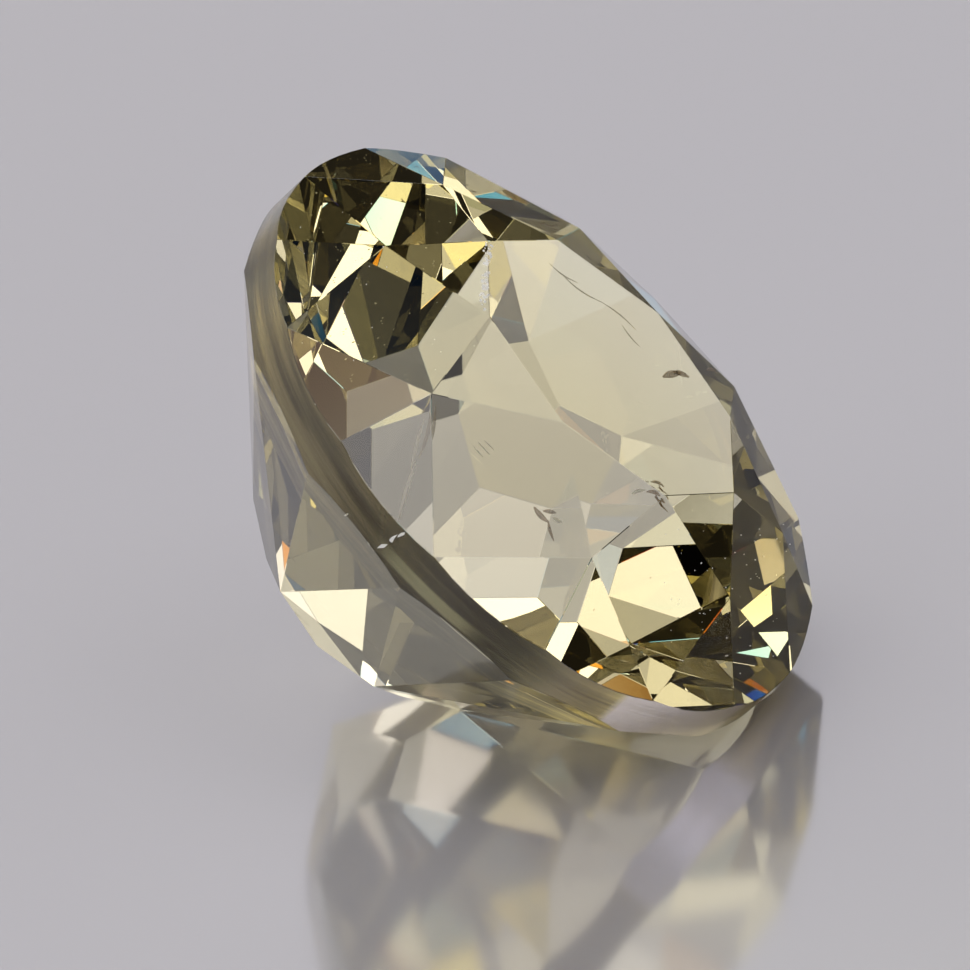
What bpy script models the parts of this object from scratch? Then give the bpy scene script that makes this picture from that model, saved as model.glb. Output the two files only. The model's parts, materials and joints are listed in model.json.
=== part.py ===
"""A faceted diaspore, one gem cut from one crystal, lying on a facet of its pavilion.

The gem is an oval brilliant. It is made as a cutter makes it: a prism with the plan of the girdle
is turned first, and every facet is then one flat cut through it. The cuts are found from their
meet points, so that neighbouring facets meet in common corners.

The gem's own frame has the table facing +Z, the long axis along X and the middle of the girdle at
the origin. The finished object is tipped about Y until the main facet at the +X end lies flat on
Z = 0. Lengths below are in millimetres, and the mesh is scaled to metres at the end.
"""
from math import acos, atan2, copysign, cos, pi, sin

import bmesh
import bpy
import numpy as np
from mathutils import Matrix

# Plan of the girdle
GEM_LENGTH = 9.0
GEM_WIDTH = 8.3
OUTLINE_POWER = 2.05          # 2 is an ellipse, and a little more squares its shoulders

# Heights, from the middle of the girdle
GIRDLE_THICKNESS = 0.69       # where the facets' corners reach the girdle; it is thinner between them
CROWN_HEIGHT = 1.30           # girdle to table
PAVILION_DEPTH = 4.10         # girdle to culet
MAINS_APEX_DEPTH = 5.10       # where the eight mains would meet if nothing cut them short
STAR_HEIGHT = 0.60            # share of the crown's height at which the stars' points lie
BREAK_DEPTH = 0.57            # share of the mains' depth at which the lower girdle facets end

# The table, an eight-sided facet with its corners on an ellipse
TABLE_LENGTH = 4.54
TABLE_WIDTH = 3.57

# Layout round the gem
FOLD = 8                      # mains, and bezels
SIDES_PER_FACET = 6           # sides of the girdle under each girdle facet
REST_FACET = 0                # the main that the gem lies on, the one at the +X end

# Finish
BODY_COLOUR = (0.80, 0.77, 0.62, 1.0)
BODY_ROUGHNESS = 0.02
REFRACTIVE_INDEX = 1.72

# Working values
ON_PLANE = 2e-5               # a corner this near a cut counts as lying on it
MERGE = 5e-4                  # corners nearer than this are one corner
MM = 0.001
NODE_NAME = "diaspore_gem"


def signed_power(value, power):
    """The power of a number's size, with the number's sign kept."""
    return copysign(abs(value) ** power, value)


def outline_point(angle, height):
    """A point of the girdle: a superellipse at the given height, by its parameter angle."""
    x = 0.5 * GEM_LENGTH * signed_power(cos(angle), 2.0 / OUTLINE_POWER)
    y = 0.5 * GEM_WIDTH * signed_power(sin(angle), 2.0 / OUTLINE_POWER)
    return np.array([x, y, height])


def outline_tangent(angle):
    """The girdle's direction at an angle, from the gradient of the superellipse turned by 90 degrees."""
    x, y, _ = outline_point(angle, 0.0)
    half_length = 0.5 * GEM_LENGTH
    half_width = 0.5 * GEM_WIDTH
    slope_x = signed_power(x / half_length, OUTLINE_POWER - 1.0) / half_length
    slope_y = signed_power(y / half_width, OUTLINE_POWER - 1.0) / half_width
    return np.array([-slope_y, slope_x, 0.0])


def angle_facing(azimuth):
    """The outline's parameter angle where the girdle faces an azimuth, as an index wheel sets it."""
    power = OUTLINE_POWER / (2.0 * (OUTLINE_POWER - 1.0))
    sine = signed_power(sin(azimuth) * GEM_WIDTH / GEM_LENGTH, power)
    cosine = signed_power(cos(azimuth), power)
    return atan2(sine, cosine) % (2.0 * pi)


def plane_through(first, second, third):
    """The plane of three points, as a point on it and a normal that faces away from the gem's middle."""
    normal = np.cross(second - first, third - first)
    normal = normal / np.linalg.norm(normal)
    if normal @ first < 0.0:
        normal = -normal
    return first, normal


def tangent_plane(angle, girdle_height, point):
    """The plane that touches the girdle's edge at an angle and passes through a point."""
    touch = outline_point(angle, girdle_height)
    return plane_through(touch, touch + outline_tangent(angle), point)


def meet_at_height(plane, other, height):
    """The point at a height on the line where two planes cross."""
    rows = np.array([plane[1], other[1], [0.0, 0.0, 1.0]])
    values = np.array([plane[1] @ plane[0], other[1] @ other[0], height])
    return np.linalg.solve(rows, values)


def main_angles():
    """Parameter angles of the mains and bezels, with the first repeated one turn on."""
    angles = [angle_facing(2.0 * pi * k / FOLD) for k in range(FOLD)]
    return angles + [angles[0] + 2.0 * pi]


def crown_cuts():
    """The table, and for each eighth a bezel, a star and two upper girdle facets."""
    girdle_top = 0.5 * GIRDLE_THICKNESS
    table_height = girdle_top + CROWN_HEIGHT
    star_height = girdle_top + STAR_HEIGHT * CROWN_HEIGHT
    angles = main_angles()
    corners = []
    for k in range(FOLD):
        azimuth = 2.0 * pi * k / FOLD
        corners.append(np.array([0.5 * TABLE_LENGTH * cos(azimuth), 0.5 * TABLE_WIDTH * sin(azimuth), table_height]))
    bezels = [tangent_plane(angles[k], girdle_top, corners[k]) for k in range(FOLD)]
    cuts = bezels + [(corners[0], np.array([0.0, 0.0, 1.0]))]
    for k in range(FOLD):
        after = (k + 1) % FOLD
        star_point = meet_at_height(bezels[k], bezels[after], star_height)
        start = outline_point(angles[k], girdle_top)
        middle = outline_point(0.5 * (angles[k] + angles[k + 1]), girdle_top)
        end = outline_point(angles[k + 1], girdle_top)
        cuts.append(plane_through(corners[k], corners[after], star_point))
        cuts.append(plane_through(start, middle, star_point))
        cuts.append(plane_through(middle, end, star_point))
    return cuts


def pavilion_mains():
    """The eight mains: each touches the girdle's lower edge and passes through their common apex."""
    girdle_foot = -0.5 * GIRDLE_THICKNESS
    apex = np.array([0.0, 0.0, girdle_foot - MAINS_APEX_DEPTH])
    return [tangent_plane(angle, girdle_foot, apex) for angle in main_angles()[:FOLD]]


def pavilion_cuts():
    """The mains, and for each eighth two lower girdle facets and one shallow culet facet."""
    girdle_foot = -0.5 * GIRDLE_THICKNESS
    break_height = girdle_foot - BREAK_DEPTH * MAINS_APEX_DEPTH
    culet = np.array([0.0, 0.0, girdle_foot - PAVILION_DEPTH])
    angles = main_angles()
    mains = pavilion_mains()
    cuts = list(mains)
    for k in range(FOLD):
        break_point = meet_at_height(mains[k], mains[(k + 1) % FOLD], break_height)
        start = outline_point(angles[k], girdle_foot)
        middle = outline_point(0.5 * (angles[k] + angles[k + 1]), girdle_foot)
        end = outline_point(angles[k + 1], girdle_foot)
        across = np.array([-break_point[1], break_point[0], 0.0])
        cuts.append(plane_through(start, middle, break_point))
        cuts.append(plane_through(middle, end, break_point))
        cuts.append(plane_through(break_point, break_point + across, culet))
    return cuts


def girdle_blank(mesh):
    """The uncut prism: the girdle's plan, with a corner at every facet's corner, drawn up past the table."""
    angles = main_angles()
    low = -0.5 * GIRDLE_THICKNESS - MAINS_APEX_DEPTH
    high = 0.5 * GIRDLE_THICKNESS + CROWN_HEIGHT + MERGE
    steps = 2 * SIDES_PER_FACET
    corners = []
    for k in range(FOLD):
        for step in range(steps):
            angle = angles[k] + (angles[k + 1] - angles[k]) * step / steps
            corners.append(mesh.verts.new(outline_point(angle, low)))
    base = mesh.faces.new(corners)
    swept = bmesh.ops.extrude_face_region(mesh, geom=[base])
    raised = [item for item in swept["geom"] if isinstance(item, bmesh.types.BMVert)]
    bmesh.ops.translate(mesh, verts=raised, vec=(0.0, 0.0, high - low))
    bmesh.ops.recalc_face_normals(mesh, faces=mesh.faces)


def cut_facet(mesh, plane):
    """One cut: what lies outside the plane is taken off, and the opening is closed with the new facet."""
    geometry = mesh.verts[:] + mesh.edges[:] + mesh.faces[:]
    bmesh.ops.bisect_plane(
        mesh, geom=geometry, dist=ON_PLANE, plane_co=plane[0], plane_no=plane[1], clear_outer=True
    )
    rim = [edge for edge in mesh.edges if edge.is_boundary]
    if rim:
        bmesh.ops.holes_fill(mesh, edges=rim, sides=0)


def gem_mesh():
    """The cut gem in metres, in its own frame, every facet one flat face."""
    mesh = bmesh.new()
    girdle_blank(mesh)
    for plane in pavilion_cuts() + crown_cuts():
        cut_facet(mesh, plane)
    bmesh.ops.remove_doubles(mesh, verts=mesh.verts, dist=MERGE)
    bmesh.ops.dissolve_degenerate(mesh, edges=mesh.edges, dist=MERGE)
    bmesh.ops.recalc_face_normals(mesh, faces=mesh.faces)
    bmesh.ops.scale(mesh, verts=mesh.verts, vec=(MM, MM, MM))
    data = bpy.data.meshes.new(NODE_NAME)
    mesh.to_mesh(data)
    mesh.free()
    return data


def gem_material():
    """Clear pale olive crystal with a high polish."""
    material = bpy.data.materials.new("diaspore")
    material.use_nodes = True
    shader = material.node_tree.nodes["Principled BSDF"]
    shader.inputs["Base Color"].default_value = BODY_COLOUR
    shader.inputs["Roughness"].default_value = BODY_ROUGHNESS
    shader.inputs["Metallic"].default_value = 0.0
    shader.inputs["IOR"].default_value = REFRACTIVE_INDEX
    shader.inputs["Transmission Weight"].default_value = 1.0
    return material


def rest_tilt():
    """The turn about Y that lays the resting main flat: its slope from the girdle's plane."""
    normal = pavilion_mains()[REST_FACET][1]
    return acos(-normal[2])


def place_on_ground(gem):
    """Tip the gem onto its resting facet, with its box standing on the origin."""
    gem.rotation_euler = (0.0, rest_tilt(), 0.0)
    turn = Matrix.Rotation(rest_tilt(), 3, "Y")
    corners = np.array([turn @ vertex.co for vertex in gem.data.vertices])
    low = corners.min(axis=0)
    high = corners.max(axis=0)
    gem.location = (-0.5 * (low[0] + high[0]), -0.5 * (low[1] + high[1]), -low[2])


def build():
    """Clear the scene and make the gem."""
    for old in list(bpy.data.objects):
        bpy.data.objects.remove(old, do_unlink=True)
    gem = bpy.data.objects.new(NODE_NAME, gem_mesh())
    bpy.context.scene.collection.objects.link(gem)
    gem.data.materials.append(gem_material())
    place_on_ground(gem)


build()
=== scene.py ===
"""The look of a faceted diaspore: clear pale olive crystal, its polish, wear and inclusions.

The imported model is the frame, in metres, with the gem lying on a facet of its pavilion at Z = 0.
The camera stands where the photograph's did, and looks at the table from in front and above.
Places on and in the gem are pixels of the photograph, right and down from its top left corner,
with depths in millimetres under the polish.
"""
import json
from math import cos, pi, radians, sin, tan

import bmesh
import bpy
import numpy as np
from mathutils import Matrix, Vector


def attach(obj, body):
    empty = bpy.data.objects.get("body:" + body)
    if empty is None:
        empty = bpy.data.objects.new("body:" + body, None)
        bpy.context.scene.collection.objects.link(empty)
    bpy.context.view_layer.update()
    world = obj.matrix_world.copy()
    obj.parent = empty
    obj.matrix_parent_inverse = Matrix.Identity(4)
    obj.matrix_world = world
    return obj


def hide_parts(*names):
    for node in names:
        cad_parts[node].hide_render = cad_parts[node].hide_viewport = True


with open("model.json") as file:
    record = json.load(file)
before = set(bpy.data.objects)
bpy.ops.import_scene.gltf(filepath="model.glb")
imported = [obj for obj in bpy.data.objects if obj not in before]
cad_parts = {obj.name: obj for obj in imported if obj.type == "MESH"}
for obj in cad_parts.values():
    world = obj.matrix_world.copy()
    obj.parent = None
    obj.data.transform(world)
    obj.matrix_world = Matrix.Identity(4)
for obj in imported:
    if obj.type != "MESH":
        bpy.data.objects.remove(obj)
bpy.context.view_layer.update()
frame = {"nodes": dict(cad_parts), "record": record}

NODE = "diaspore_gem"
MM = 0.001

# Camera, as the photograph was taken
IMAGE_SIDE = 970                 # pixels each way
PIXELS_PER_MM = 77.1
CAMERA_AZIMUTH = 23.5            # degrees round from the front, towards the side that the table faces
CAMERA_ELEVATION = 23.1
CAMERA_ROLL = 7.0                # degrees that the ground tips down to the right
CAMERA_DISTANCE = 130 * MM
GIRDLE_MIDDLE_PIXEL = (531.2, 440.1)
SENSOR = 36.0

# The gem's own frame, and the crystal
CROWN_HEIGHT = 1.30 * MM
GIRDLE_THICKNESS = 0.69 * MM
REFRACTIVE_INDEX = 1.72
ABSORPTION_COLOUR = (0.88, 0.80, 0.36, 1.0)
ABSORPTION_DENSITY = 100.0       # per metre, times what each channel of the colour lacks

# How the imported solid's triangles become facets, and where its edges are worn
WELD = 1e-6                      # corners nearer than this are one, in metres
FLAT_ANGLE = radians(0.3)        # triangles that turn by less than this are one facet
GIRDLE_LEAN = 0.02               # cosine between a girdle face's direction and the table's, at most
EDGE_WEAR = 0.006 * MM           # width of a narrow bevel along a worn edge
WORN_ANGLE = radians(5.0)        # edges that turn by more than this are worn


def unit(vector):
    """A vector's direction."""
    return vector / np.linalg.norm(vector)


def direction(azimuth, elevation):
    """The direction at an azimuth round from the front and an elevation, both in degrees."""
    turn = radians(azimuth)
    rise = radians(elevation)
    return np.array([sin(turn) * cos(rise), -cos(turn) * cos(rise), sin(rise)])


def table_mount():
    """The table facet's place and outward direction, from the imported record."""
    mount = next(m for m in frame["record"]["mounts"] if m["name"] == "table_facet")
    return np.array(mount["pos_m"]), unit(np.array(mount["axis"]))


TABLE_POINT, TABLE_AXIS = table_mount()
GIRDLE_MIDDLE = TABLE_POINT - TABLE_AXIS * (CROWN_HEIGHT + 0.5 * GIRDLE_THICKNESS)
WIDE_AXIS = (0.0, 1.0, 0.0)
LONG_AXIS = np.cross(WIDE_AXIS, TABLE_AXIS)


def camera_axes():
    """The camera's right, up and backward directions, from its azimuth, elevation and roll."""
    back = direction(CAMERA_AZIMUTH, CAMERA_ELEVATION)
    level = unit(np.cross([0.0, 0.0, 1.0], back))
    roll = radians(CAMERA_ROLL)
    right = cos(roll) * level - sin(roll) * np.cross(back, level)
    return right, np.cross(back, right), back


RIGHT, UP, BACK = camera_axes()


def pixel_point(pixels):
    """Where pixels lie on the plane through the middle of the girdle that faces the camera."""
    steps = (np.array(pixels, dtype=float) - GIRDLE_MIDDLE_PIXEL) / PIXELS_PER_MM * MM
    return GIRDLE_MIDDLE + steps[..., :1] * RIGHT - steps[..., 1:] * UP


TARGET = pixel_point((0.5 * IMAGE_SIDE, 0.5 * IMAGE_SIDE))
EYE = TARGET + BACK * CAMERA_DISTANCE


def make_camera():
    """A long lens with no depth of field, which shows the photograph's width at the gem."""
    data = bpy.data.cameras.new("camera")
    data.sensor_width = SENSOR
    data.lens = SENSOR * CAMERA_DISTANCE / (IMAGE_SIDE / PIXELS_PER_MM * MM)
    data.clip_start = 0.01
    data.clip_end = 10.0
    camera = bpy.data.objects.new("camera", data)
    turn = Matrix((RIGHT, UP, BACK)).transposed()
    camera.matrix_world = Matrix.Translation(Vector(EYE)) @ turn.to_4x4()
    bpy.context.scene.collection.objects.link(camera)
    bpy.context.scene.camera = camera


class Value:
    """A node's output socket, which adds Math nodes to its tree when it is used in an expression."""

    def __init__(self, shop, socket):
        self.shop = shop
        self.socket = socket

    def math(self, operation, *others):
        """A Math node with this value first."""
        return self.shop.node("ShaderNodeMath", {"operation": operation}, [self, *others])

    def __add__(self, other):
        return self.math("ADD", other)

    __radd__ = __add__

    def __mul__(self, other):
        return self.math("MULTIPLY", other)

    __rmul__ = __mul__

    def __sub__(self, other):
        return self.math("SUBTRACT", other)

    def __rsub__(self, other):
        return self.shop.node("ShaderNodeMath", {"operation": "SUBTRACT"}, [other, self])

    def __truediv__(self, other):
        return self.math("DIVIDE", other)

    def size(self):
        """The value without its sign."""
        return self.math("ABSOLUTE")

    def ramp(self, low, high, start=0.0, end=1.0):
        """A smooth step from start to end as the value goes from low to high."""
        settings = {"interpolation_type": "SMOOTHSTEP"}
        inputs = {"Value": self, "From Min": low, "From Max": high, "To Min": start, "To Max": end}
        return self.shop.node("ShaderNodeMapRange", settings, inputs, "Result")


class Shop:
    """The node tree of one material or world, with one method that adds any node to it.

    Map Range and Mix nodes have several sockets of one name, so theirs go by number here.
    """

    def __init__(self, tree):
        self.tree = tree

    def node(self, kind, settings=None, inputs=None, output=0):
        """Add a node: its settings first, then its sockets' values or links. Returns one output."""
        made = self.tree.nodes.new(kind)
        for name, value in (settings or {}).items():
            setattr(made, name, value)
        self.fill(made, inputs or {})
        return Value(self, made.outputs[output])

    def fill(self, made, inputs):
        """Set or link a node's sockets, by name or in order."""
        pairs = inputs.items() if isinstance(inputs, dict) else enumerate(inputs)
        for key, value in pairs:
            if isinstance(value, Value):
                self.tree.links.new(value.socket, made.inputs[key])
            else:
                made.inputs[key].default_value = value

    def dot(self, vector, axis):
        """How far a vector reaches along an axis."""
        inputs = [vector, tuple(axis)]
        return self.node("ShaderNodeVectorMath", {"operation": "DOT_PRODUCT"}, inputs, "Value")

    def vector_math(self, operation, *vectors):
        """A Vector Math node's vector."""
        return self.node("ShaderNodeVectorMath", {"operation": operation}, vectors)

    def three(self, x, y, z):
        """A vector or colour from three numbers."""
        return self.node("ShaderNodeCombineXYZ", None, [x, y, z])

    def noise(self, place, scale, detail):
        """Soft noise about 0.5, with so many patches to a unit of the place."""
        inputs = {"Vector": place, "Scale": scale, "Detail": detail}
        return self.node("ShaderNodeTexNoise", None, inputs, "Fac")

    def smooth(self, vector, low, high):
        """A smooth step from 0 to 1 of each part of a vector, as it goes from low to high."""
        settings = {"data_type": "FLOAT_VECTOR", "interpolation_type": "SMOOTHSTEP"}
        inputs = {6: vector, 7: (low, low, low), 8: (high, high, high)}
        return self.node("ShaderNodeMapRange", settings, inputs, 1)

    def mix(self, factor, first, second):
        """Two colours mixed, the second by the factor."""
        inputs = {"Factor": factor, 6: first, 7: second}
        return self.node("ShaderNodeMix", {"data_type": "RGBA"}, inputs, 2)

    def lay_over(self, mask, under, over):
        """Two vectors mixed, each part of the second by that part of the mask."""
        settings = {"data_type": "VECTOR", "factor_mode": "NON_UNIFORM"}
        return self.node("ShaderNodeMix", settings, {1: mask, 4: under, 5: over}, 1)


def new_material(name):
    """A material with an empty Principled shader, and the shop of its nodes."""
    material = bpy.data.materials.new(name)
    material.use_nodes = True
    return material, Shop(material.node_tree), material.node_tree.nodes["Principled BSDF"]


def add_piece(name, data, material):
    """An object with its place in its mesh, which rides on the gem's body."""
    data.materials.clear()
    data.materials.append(material)
    piece = bpy.data.objects.new(name, data)
    bpy.context.scene.collection.objects.link(piece)
    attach(piece, "root")
    return piece


# The ground and worn girdle between crown and pavilion: its bands of painted shade and painted
# light, a painted highlight along its lower middle, and the bare polished length at its lower end
GIRDLE_ROUGHNESS = 0.22
# Colours of the bands' painted shade and painted light, and of the painted highlight
GIRDLE_PAINTED_SHADE = (0.050, 0.036, 0.015, 1.0)
GIRDLE_PAINTED_LIGHT = (0.52, 0.42, 0.20, 1.0)
GIRDLE_PAINTED_GLEAM = (0.72, 0.70, 0.40, 1.0)
GIRDLE_BARE = (0.85, 0.80, 0.80, 1.0)
GIRDLE_GLEAM_SHEEN = 0.4
GIRDLE_BARE_SHEEN = 0.8

# Its noise: patches to a radian of turn and to a millimetre of height, with the bands climbing a
# little with the turn, and the range of the noise over which they go from painted shade to painted light
BANDS_BY_TURN = 1.3
BANDS_BY_HEIGHT = 4.5
BANDS_CLIMB = 0.8
STREAKS_BY_TURN = 3.0
STREAKS_BY_HEIGHT = 26.0
STREAKS_IN_BANDS = 0.2
BANDS_RANGE = (0.42, 0.88)
BANDS_IN_RELIEF = 1.5
RELIEF_STRENGTH = 0.45
RELIEF_DEPTH = 0.012 * MM

# Where its lengths lie, as turns round the gem from its long axis, in radians, and a height from
# its middle, in millimetres. Each pair is where a length begins and where it is full.
# A length of painted shade, where most of the bands' painted light is taken off
PAINTED_SHADE_TURN = -1.02
PAINTED_SHADE_REACH = (0.26, 0.14)
PAINTED_SHADE_SHARE = 0.8
# A painted highlight: a pale colour with a metallic sheen, near a height below the middle
GLEAM_TURN = -1.50
GLEAM_REACH = (0.26, 0.12)
GLEAM_HEIGHT = -0.12
GLEAM_RISE = (0.12, 0.06)
GLEAM_SHARE = 0.9
BARE_START = (-0.82, -0.78)
BARE_END = (-0.20, -0.34)


def girdle_look(shop):
    """The girdle's colour, sheen and relief, from where the turn round the gem and the height are.

    Noise drawn out along the girdle gives bands and fine streaks, in its relief and as painted
    light and shade in its colour. By the turn, one length is painted in shade, one has a painted
    highlight near a height, and one is bare.
    """
    place = shop.node("ShaderNodeTexCoord", None, None, "Object")
    offset = shop.vector_math("SUBTRACT", place, tuple(GIRDLE_MIDDLE))
    height = shop.dot(offset, TABLE_AXIS) / MM
    turn = shop.dot(offset, WIDE_AXIS).math("ARCTAN2", shop.dot(offset, LONG_AXIS))
    way = shop.three(turn * BANDS_BY_TURN, height * BANDS_BY_HEIGHT + turn * BANDS_CLIMB, 0.0)
    bands = shop.noise(way, 1.0, 2.0)
    streaks = shop.noise(shop.three(turn * STREAKS_BY_TURN, height * STREAKS_BY_HEIGHT, 0.0), 1.0, 3.0)
    # Painted shade along one length of the girdle
    dark = (turn - PAINTED_SHADE_TURN).size().ramp(*PAINTED_SHADE_REACH)
    # A painted highlight by the turn and near a height
    painted_gleam = (turn - GLEAM_TURN).size().ramp(*GLEAM_REACH)
    painted_gleam = painted_gleam * (height - GLEAM_HEIGHT).size().ramp(*GLEAM_RISE)
    bare = turn.ramp(*BARE_START) * turn.ramp(*BARE_END)
    # Bands of painted light over painted shade, mostly taken off along the shaded length
    painted_light = (bands + streaks * STREAKS_IN_BANDS).ramp(*BANDS_RANGE) * (1.0 - PAINTED_SHADE_SHARE * dark)
    skin = shop.mix(painted_light, GIRDLE_PAINTED_SHADE, GIRDLE_PAINTED_LIGHT)
    skin = shop.mix(painted_gleam * GLEAM_SHARE, skin, GIRDLE_PAINTED_GLEAM)
    skin = shop.mix(bare, skin, GIRDLE_BARE)
    sheen = bare * GIRDLE_BARE_SHEEN + painted_gleam * GIRDLE_GLEAM_SHEEN
    return skin, sheen, streaks + bands * BANDS_IN_RELIEF


def crystal():
    """Clear crystal by plain transmission, index and absorption, with a ground and streaked girdle
    whose colour holds painted light and shade and a painted highlight.
    """
    material, shop, shader = new_material("diaspore crystal")
    girdle = shop.node("ShaderNodeAttribute", {"attribute_name": "girdle"}, None, "Fac")
    skin, sheen, relief = girdle_look(shop)
    bump = {"Height": relief * girdle, "Strength": RELIEF_STRENGTH, "Distance": RELIEF_DEPTH}
    shop.fill(shader, {
        "Base Color": shop.mix(girdle, (1.0, 1.0, 1.0, 1.0), skin),
        "Roughness": girdle * GIRDLE_ROUGHNESS,
        "Metallic": girdle * sheen,
        "IOR": REFRACTIVE_INDEX,
        "Transmission Weight": 1.0,
        "Normal": shop.node("ShaderNodeBump", None, bump, "Normal"),
    })
    absorb = {"Color": ABSORPTION_COLOUR, "Density": ABSORPTION_DENSITY}
    volume = shop.node("ShaderNodeVolumeAbsorption", None, absorb)
    shop.fill(material.node_tree.nodes["Material Output"], {"Volume": volume})
    return material


def gem_piece():
    """The gem for the render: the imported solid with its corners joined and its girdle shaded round."""
    data = frame["nodes"][NODE].data.copy()
    mesh = bmesh.new()
    mesh.from_mesh(data)
    bmesh.ops.remove_doubles(mesh, verts=mesh.verts, dist=WELD)
    bmesh.ops.dissolve_limit(mesh, angle_limit=FLAT_ANGLE, verts=mesh.verts, edges=mesh.edges)
    mark = mesh.faces.layers.float.new("girdle")
    for face in mesh.faces:
        on_girdle = abs(face.normal.dot(Vector(TABLE_AXIS))) < GIRDLE_LEAN
        face.smooth = on_girdle
        face[mark] = float(on_girdle)
    for edge in mesh.edges:
        edge.smooth = all(face.smooth for face in edge.link_faces)
    mesh.to_mesh(data)
    mesh.free()
    piece = add_piece("gem", data, crystal())
    edges = piece.modifiers.new("worn edges", "BEVEL")
    edges.width = EDGE_WEAR
    edges.segments = 1
    edges.limit_method = "ANGLE"
    edges.angle_limit = WORN_ANGLE
    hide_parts(NODE)


def facet_planes():
    """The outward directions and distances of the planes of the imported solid's triangles."""
    polygons = frame["nodes"][NODE].data.polygons
    normals = np.array([polygon.normal for polygon in polygons])
    centres = np.array([polygon.center for polygon in polygons])
    return normals, np.sum(normals * centres, axis=1)


FACET_DIRECTIONS, FACET_DISTANCES = facet_planes()


def inside_gem(pixels, depth):
    """The points that pixels, one a row, show at a depth in millimetres under the polish.

    Each line of sight runs to the last facet plane that it enters through, bends there by Snell's
    law and goes on for the depth.
    """
    rays = pixel_point(pixels) - EYE
    rays = rays / np.linalg.norm(rays, axis=1, keepdims=True)
    facing = rays @ FACET_DIRECTIONS.T
    gaps = FACET_DISTANCES - FACET_DIRECTIONS @ EYE
    reach = np.where(facing < 0.0, gaps / facing, -np.inf)
    normals = FACET_DIRECTIONS[reach.argmax(axis=1)]
    cosines = -np.sum(rays * normals, axis=1, keepdims=True)
    slants = np.sqrt(1.0 - (1.0 - cosines ** 2) / REFRACTIVE_INDEX ** 2)
    bent = rays / REFRACTIVE_INDEX + (cosines / REFRACTIVE_INDEX - slants) * normals
    entry = EYE + rays * reach.max(axis=1)[:, None]
    return entry + bent * depth * MM


# Threads have rings of so many sides at so many points, and ends this share as wide as the middle.
# The rings are turned from a direction that no thread quite follows.
THREAD_SIDES = 8
THREAD_POINTS = 14
THREAD_END = 0.25
THREAD_TURN = UP + 0.3 * RIGHT


def tube(path, widths):
    """A closed thread: a circle's ring at each point of a path, square to it and as wide as the
    width there, with a fan of triangles at either end."""
    ahead = np.gradient(path, axis=0)
    ahead = ahead / np.linalg.norm(ahead, axis=1, keepdims=True)
    beside = np.cross(ahead, THREAD_TURN)
    beside = beside / np.linalg.norm(beside, axis=1, keepdims=True)
    above = np.cross(ahead, beside)
    side = np.arange(THREAD_SIDES)
    turns = side[None, :, None] * 2.0 * pi / THREAD_SIDES
    spokes = beside[:, None] * np.cos(turns) + above[:, None] * np.sin(turns)
    rings = path[:, None] + 0.5 * MM * widths[:, None, None] * spokes
    points = np.concatenate([rings.reshape(-1, 3), path[:1], path[-1:]])
    after = (side + 1) % THREAD_SIDES
    low = np.arange(len(path) - 1)[:, None] * THREAD_SIDES
    high = low + THREAD_SIDES
    quads = np.stack([low + side, low + after, high + after, high + side], axis=-1)
    last = (len(path) - 1) * THREAD_SIDES
    start_tip = np.full(THREAD_SIDES, len(path) * THREAD_SIDES)
    start_fan = np.stack([start_tip, after, side], axis=-1)
    end_fan = np.stack([start_tip + 1, last + side, last + after], axis=-1)
    return points, quads.reshape(-1, 4).tolist() + start_fan.tolist() + end_fan.tolist()


def thread(first_pixel, last_pixel, depth, width, bend):
    """A thread inside the gem from one pixel to another, thickest at its middle.

    It bows sideways by the bend in pixels, as a half wave of a sine, and its width rises by the
    same wave from its share at the ends to all of it, in millimetres.
    """
    share = np.linspace(0.0, 1.0, THREAD_POINTS)
    wave = np.sin(pi * share)
    start = np.array(first_pixel, dtype=float)
    end = np.array(last_pixel, dtype=float)
    sideways = np.array([start[1] - end[1], end[0] - start[0]]) / np.linalg.norm(end - start)
    spots = start + (end - start) * share[:, None] + sideways * (bend * wave)[:, None]
    return tube(inside_gem(spots, depth), width * (THREAD_END + (1.0 - THREAD_END) * wave))


# Chips and specks are flakes with six corners, at an uneven share of their size from the middle.
# A slim flake is long to the right and up in the picture, which is across the girdle's lower left.
FLAKE_CORNERS = 6
FLAKE_REACH = (0.35, 1.0)
FLAKE_LONG = (0.85, -0.53)
FLAKE_SHORT = (0.53, 0.85)
FLAKE_BACK = 0.7                 # the size of its back, as a share of its front's
FLAKE_THICKNESS = 0.02 * MM
PROUD = -0.006                   # its front's depth under the polish, in millimetres, so just above it


def blade(front):
    """A closed flake: a polygon of points, and its copy drawn in about their mean and pushed back
    along the view by the flake's thickness."""
    middle = front.mean(axis=0)
    back = middle + (front - middle) * FLAKE_BACK - BACK * FLAKE_THICKNESS
    count = len(front)
    corner = np.arange(count)
    after = (corner + 1) % count
    walls = np.stack([after, corner, count + corner, count + after], axis=-1)
    ends = [corner.tolist(), (2 * count - 1 - corner).tolist()]
    return np.concatenate([front, back]), ends + walls.tolist()


def flake(pixel, size, draw, slim=1.0):
    """A chip or speck: a small blade just proud of the polish, of a size in pixels."""
    turns = np.arange(FLAKE_CORNERS) * 2.0 * pi / FLAKE_CORNERS + draw.uniform(0.0, pi)
    reach = size * draw.uniform(*FLAKE_REACH, FLAKE_CORNERS)
    long = np.outer(np.cos(turns) * reach, FLAKE_LONG)
    short = np.outer(np.sin(turns) * reach * slim, FLAKE_SHORT)
    return blade(inside_gem(np.array(pixel) + long + short, PROUD))


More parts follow.
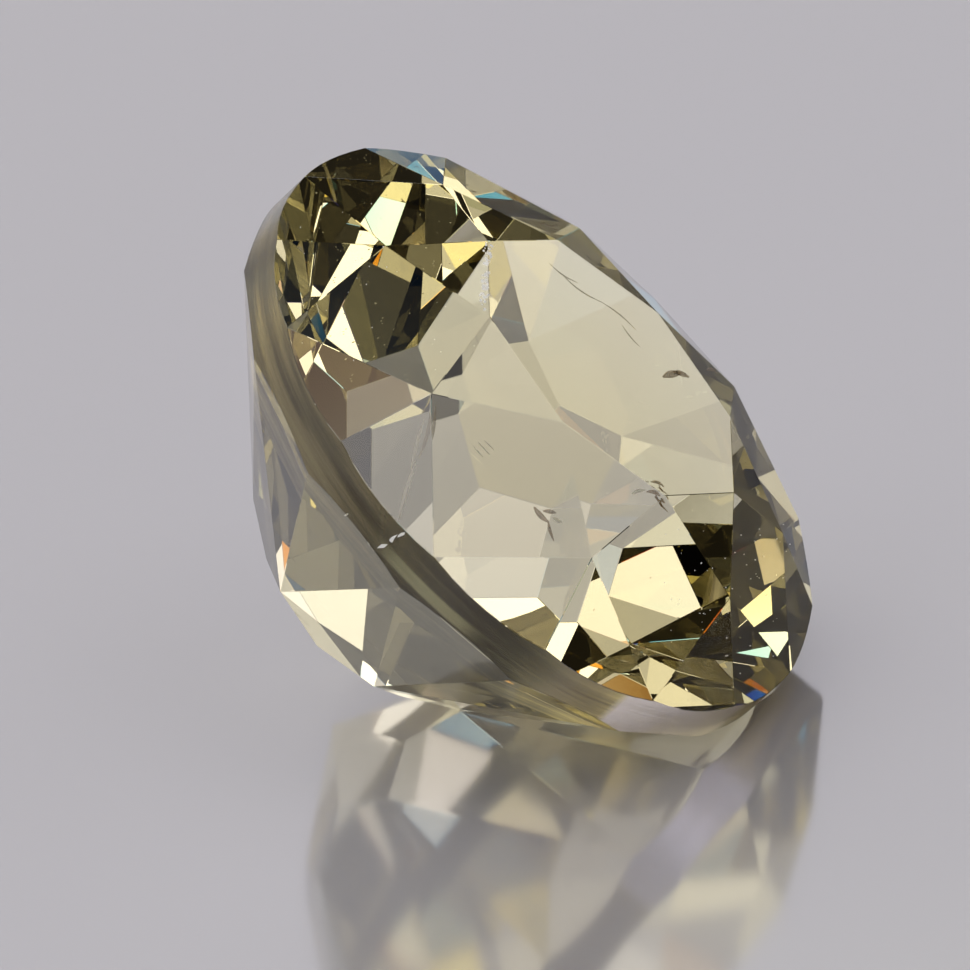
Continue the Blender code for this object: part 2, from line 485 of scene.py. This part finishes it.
def joined_piece(name, parts, material):
    """One piece from several closed shapes, joined in one mesh with its faces turned outwards."""
    points = []
    faces = []
    start = 0
    for part_points, part_faces in parts:
        points.append(part_points)
        faces.extend([start + index for index in face] for face in part_faces)
        start += len(part_points)
    data = bpy.data.meshes.new(name)
    data.from_pydata(np.concatenate(points).tolist(), [], faces)
    mesh = bmesh.new()
    mesh.from_mesh(data)
    bmesh.ops.recalc_face_normals(mesh, faces=mesh.faces)
    mesh.to_mesh(data)
    mesh.free()
    add_piece(name, data, material)


MINERAL_PATCHES = 9000.0         # patches of colour to a metre
MINERAL_SHADE = 0.6              # its darkest colour, as a share of its own


def mineral(name, colour, cover, painted_glow=0.0):
    """A dull mineral, a little uneven in its colour, which covers part of what lies behind it.

    The painted glow is light that it gives off: an emission that stands in for breaks that throw light
    about within themselves.
    """
    material, shop, shader = new_material(name)
    place = shop.node("ShaderNodeTexCoord", None, None, "Object")
    darkest = tuple(MINERAL_SHADE * share for share in colour[:3]) + (1.0,)
    shop.fill(shader, {
        "Base Color": shop.mix(shop.noise(place, MINERAL_PATCHES, 2.0), darkest, colour),
        "Roughness": 0.5,
        "Alpha": cover,
        # Painted light: an even glow in the mineral's own colour
        "Emission Color": colour,
        "Emission Strength": painted_glow,
    })
    return material


def veil():
    """A pale fracture: a milky skin that scatters what passes it."""
    material, shop, shader = new_material("pale veil")
    shop.fill(shader, {
        "Base Color": (0.98, 0.98, 0.94, 1.0),
        "Roughness": 0.5,
        "Transmission Weight": 0.7,
        "IOR": 1.2,
    })
    return material


# What the crystal holds: each thread's first and last pixel, its depth and its width in
# millimetres, and the bend in pixels by which it bows sideways
STRAW = (0.72, 0.60, 0.36, 1.0)
STRAW_COVER = 0.40
NEEDLES = (
    ((549, 263), (578, 283), 0.9, 0.030, 2.0),
    ((560, 272), (601, 302), 0.9, 0.034, 3.0),
    ((598, 300), (636, 330), 0.9, 0.030, -2.0),
    ((622, 325), (640, 347), 0.9, 0.026, 1.0),
    ((431, 405), (419, 458), 1.0, 0.050, -3.0),
)
BROWN = (0.60, 0.39, 0.17, 1.0)
BROWN_COVER = 0.50
GRAINS = (
    ((663, 377), (681, 373), 0.5, 0.110, -1.0),
    ((673, 372), (689, 377), 0.5, 0.100, -1.0),
    ((707, 370), (717, 373), 0.3, 0.070, -2.0),
    ((534, 507), (548, 522), 1.0, 0.080, 1.0),
    ((543, 511), (556, 513), 1.0, 0.060, -0.5),
    ((548, 520), (554, 541), 1.0, 0.045, 1.0),
    ((651, 482), (664, 487), 0.8, 0.060, -2.0),
    ((655, 492), (668, 512), 0.8, 0.030, 2.0),
)
PALE_STREAKS = (
    ((416, 462), (399, 520), 0.8, 0.060, 1.0),
    ((424, 420), (411, 470), 0.8, 0.045, 1.0),
    ((478, 442), (490, 455), 0.6, 0.016, 0.0),
    ((473, 446), (483, 457), 0.6, 0.014, 0.0),
    ((484, 440), (494, 450), 0.6, 0.012, 0.0),
    ((632, 494), (645, 490), 0.7, 0.050, -1.0),
    ((553, 517), (562, 522), 0.8, 0.050, 1.0),
)


def inclusions():
    """Needles, brown grains with a brown feather, and thin pale streaks."""
    needles = [thread(*row) for row in NEEDLES]
    grains = [thread(*row) for row in GRAINS]
    streaks = [thread(*row) for row in PALE_STREAKS]
    joined_piece("needles", needles, mineral("straw needle", STRAW, STRAW_COVER))
    joined_piece("dark_grains", grains, mineral("brown grain", BROWN, BROWN_COVER))
    joined_piece("pale_streaks", streaks, veil())


CHIP_WHITE = (0.93, 0.92, 0.88, 1.0)
# The chips' white is their own colour; their glow is painted light, for their sparkle
CHIP_PAINTED_GLOW = 0.25

# Nicks crowd about a line along the table's edge, with sizes in pixels, and chips lie on the girdle
NICK_LINE = ((489.0, 243.0), (482.0, 312.0))
NICK_COUNT = 70
NICK_SCATTER = 2.2               # pixels off the line, as a standard deviation
NICK_SIZES = (0.8, 3.0)
GIRDLE_CHIPS = (((346, 515), 3.0), ((383, 546), 7.0), ((392, 539), 8.0), ((401, 535), 6.0))
GIRDLE_CHIP_SLIM = 0.45

# Fields of specks: how many, their pixels across and down, and their sizes in pixels
SPECK_FIELDS = (
    (60, (660.0, 790.0), (520.0, 675.0), (0.4, 1.0)),
    (30, (300.0, 480.0), (200.0, 400.0), (0.4, 0.9)),
)


def wear():
    """Nicks along the edge of the table and on the girdle, and specks on the polish, all white and
    glowing a little with painted light.
    """
    draw = np.random.default_rng(7)
    white = mineral("white chips", CHIP_WHITE, 1.0, CHIP_PAINTED_GLOW)
    start, end = np.array(NICK_LINE)
    nicks = []
    for _ in range(NICK_COUNT):
        share = draw.uniform(0.0, 1.0)
        spot = start * (1.0 - share) + end * share + draw.normal(0.0, NICK_SCATTER, 2)
        nicks.append(flake(spot, draw.uniform(*NICK_SIZES), draw))
    for spot, size in GIRDLE_CHIPS:
        nicks.append(flake(spot, size, draw, GIRDLE_CHIP_SLIM))
    joined_piece("nicks", nicks, white)
    specks = []
    for count, across, down, sizes in SPECK_FIELDS:
        for _ in range(count):
            spot = (draw.uniform(*across), draw.uniform(*down))
            specks.append(flake(spot, draw.uniform(*sizes), draw))
    joined_piece("specks", specks, white)


# Studio: each panel is a rectangle far off, by its azimuth and elevation from the gem, its half
# width and half height in degrees, how softly its edge fades, as a tangent, and its light. Cards
# are panels that are nearly black. A later panel lies over an earlier one.
CARD = (0.012, 0.010, 0.007)
DIM_CARD = (0.03, 0.027, 0.02)
KEY = (2.2, 2.12, 2.15)
PANELS = (
    ("fill behind", 214, 53, 18, 17, 0.05, (1.15, 1.08, 0.84)),
    ("low fill behind", 216, 32, 16, 4, 0.04, (0.82, 0.76, 0.60)),
    ("fill behind the left", 252, 38, 14, 14, 0.05, (1.38, 1.31, 1.06)),
    ("lamp behind the left", 254, 62, 14, 12, 0.05, (1.70, 1.62, 1.36)),
    ("lowest fill behind", 215, 9, 10, 7, 0.03, (0.95, 0.92, 0.92)),
    ("low fill at the left", 256, 14, 13, 8, 0.08, (1.05, 1.00, 0.85)),
    ("card by the camera", 22, 32, 26, 34, 0.05, CARD),
    ("card along the front", 70, 8, 50, 17, 0.05, CARD),
    ("card behind", 162, 38, 24, 30, 0.10, DIM_CARD),
    ("low card behind", 178, 8.6, 17.5, 12.5, 0.03, DIM_CARD),
    ("key", 68, 60, 9, 13, 0.04, KEY),
    ("spark above the camera", 21, 61.5, 4.7, 5, 0.03, KEY),
    ("low card at the right", 126, 6, 36, 12, 0.06, CARD),
    ("spark by the camera", 12.5, 28, 2.5, 2.5, 0.03, KEY),
    ("card in front", 346, 6, 24, 17, 0.06, CARD),
    ("lamp beside the camera", 34, 22, 3.5, 4.6, 0.03, KEY),
    ("lamp beside the key", 58.5, 26, 5.5, 8, 0.03, (1.50, 1.42, 1.55)),
    ("side fill", 318, 42, 18, 12, 0.10, (1.10, 1.05, 1.00)),
)
EDGE_COLOURING = 0.007           # how far a panel's red and blue stand from its green, as a tangent
DOME_LIGHT = (0.62, 0.60, 0.61)
DOME_LEVEL = 0.85                # the dome's light at the horizon and overhead, as shares
DOME_OVERHEAD = 1.15


def panel_mask(shop, way, azimuth, elevation, half_width, half_height, soft):
    """A mask for red, green and blue, as a vector, of a rectangle seen in a direction.

    What the direction reaches to the right and up of the panel's middle, over what it reaches
    towards it, is a tangent. The mask fades out where the tangent's size passes the half width's
    or the half height's. Red lies a little to the right and up of green, and blue the other way.
    """
    ahead = direction(azimuth, elevation)
    right = direction(azimuth + 90.0, 0.0)
    up = np.cross(ahead, right)
    depth = shop.dot(way, ahead)
    mask = depth.math("GREATER_THAN", 0.0)
    for axis, half in ((right, half_width), (up, half_height)):
        reach = shop.dot(way, axis) / depth
        apart = shop.three(reach - EDGE_COLOURING, reach, reach + EDGE_COLOURING)
        edge = tan(radians(half))
        inside = shop.smooth(shop.vector_math("ABSOLUTE", apart), edge + 0.5 * soft, edge - 0.5 * soft)
        mask = shop.vector_math("MULTIPLY", inside, mask)
    return mask


def studio():
    """Soft light: a pale dome with the panels laid over it, one after another."""
    world = bpy.data.worlds.new("studio")
    world.use_nodes = True
    shop = Shop(world.node_tree)
    way = shop.node("ShaderNodeTexCoord", None, None, "Generated")
    rise = shop.dot(way, (0.0, 0.0, 1.0)).ramp(0.0, 1.0, DOME_LEVEL, DOME_OVERHEAD)
    light = shop.vector_math("MULTIPLY", rise, DOME_LIGHT)
    for _, azimuth, elevation, half_width, half_height, soft, colour in PANELS:
        mask = panel_mask(shop, way, azimuth, elevation, half_width, half_height, soft)
        light = shop.lay_over(mask, light, colour)
    shop.fill(world.node_tree.nodes["Background"], {"Color": light})
    world.cycles.sampling_method = "NONE"
    bpy.context.scene.world = world


FLOOR_HALF = 0.4                 # metres
FLOOR_DROP = 0.01 * MM           # how far the floor lies under the gem, so that no two faces coincide


def floor():
    """The plain pale floor, satin smooth, just under the gem."""
    half = FLOOR_HALF
    corners = [(-half, -half, 0.0), (half, -half, 0.0), (half, half, 0.0), (-half, half, 0.0)]
    data = bpy.data.meshes.new("floor")
    data.from_pydata(corners, [], [(0, 1, 2, 3)])
    material, shop, shader = new_material("floor")
    shop.fill(shader, {"Base Color": (0.74, 0.74, 0.81, 1.0), "Roughness": 0.10, "Metallic": 0.5})
    data.materials.append(material)
    plane = bpy.data.objects.new("floor", data)
    plane.location = (0.0, 0.0, -FLOOR_DROP)
    bpy.context.scene.collection.objects.link(plane)


def set_light_paths():
    """Colours shown as they are, and enough bounces for light to cross the gem several times."""
    scene = bpy.context.scene
    scene.view_settings.view_transform = "Standard"
    scene.cycles.max_bounces = 11
    scene.cycles.glossy_bounces = 9
    scene.cycles.transmission_bounces = 11


make_camera()
gem_piece()
inclusions()
wear()
floor()
studio()
set_light_paths()
